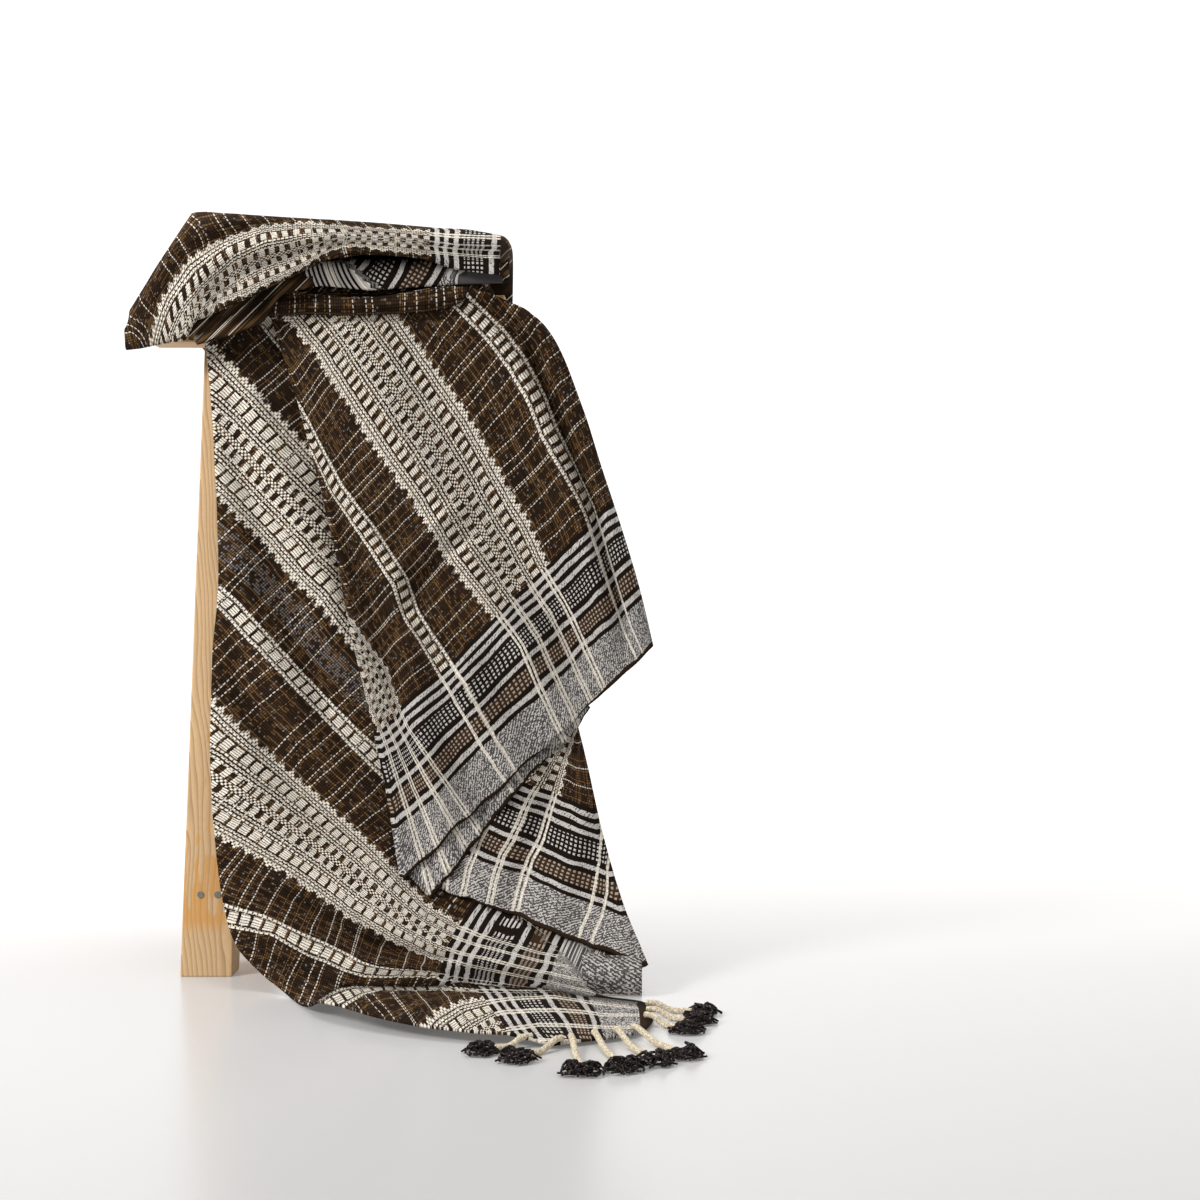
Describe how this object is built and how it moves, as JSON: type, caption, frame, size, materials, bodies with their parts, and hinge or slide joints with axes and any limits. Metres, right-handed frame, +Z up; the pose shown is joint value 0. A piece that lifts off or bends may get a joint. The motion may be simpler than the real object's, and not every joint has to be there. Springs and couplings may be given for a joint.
{
  "type": "wool throw blanket on a wooden trestle",
  "caption": "Tasselled striped wool throw draped in layered folds over a plain wooden trestle, its hood gathered on the rail and its far hem on the floor.",
  "frame": {"origin": "middle of the base of the whole part, on the surface that it stands on", "axes": "+Z up, +X to the right and +Y away from the front of the drape"},
  "size_m": [0.6094, 0.7412, 0.7902],
  "materials": {
    "wool_weave": "coarse hand-woven wool, dark brown with cream bands",
    "tassel_yarn": "loose dark wool yarn",
    "pine": "planed, unfinished",
    "screw_steel": "dull zinc"
  },
  "bodies": {
    "root": {"throw": "wool_weave", "tassel_01": "tassel_yarn", "tassel_02": "tassel_yarn", "tassel_03": "tassel_yarn", "tassel_04": "tassel_yarn", "tassel_05": "tassel_yarn", "tassel_06": "tassel_yarn", "tassel_07": "tassel_yarn", "tassel_08": "tassel_yarn", "tassel_09": "tassel_yarn", "rail": "pine", "leg_front_left": "pine", "leg_rear_left": "pine", "leg_front_right": "pine", "leg_rear_right": "pine", "stretcher_left": "pine", "stretcher_right": "pine", "screw_left_1": "screw_steel", "screw_left_2": "screw_steel", "screw_right_1": "screw_steel", "screw_right_2": "screw_steel"}
  },
  "joints": []
}
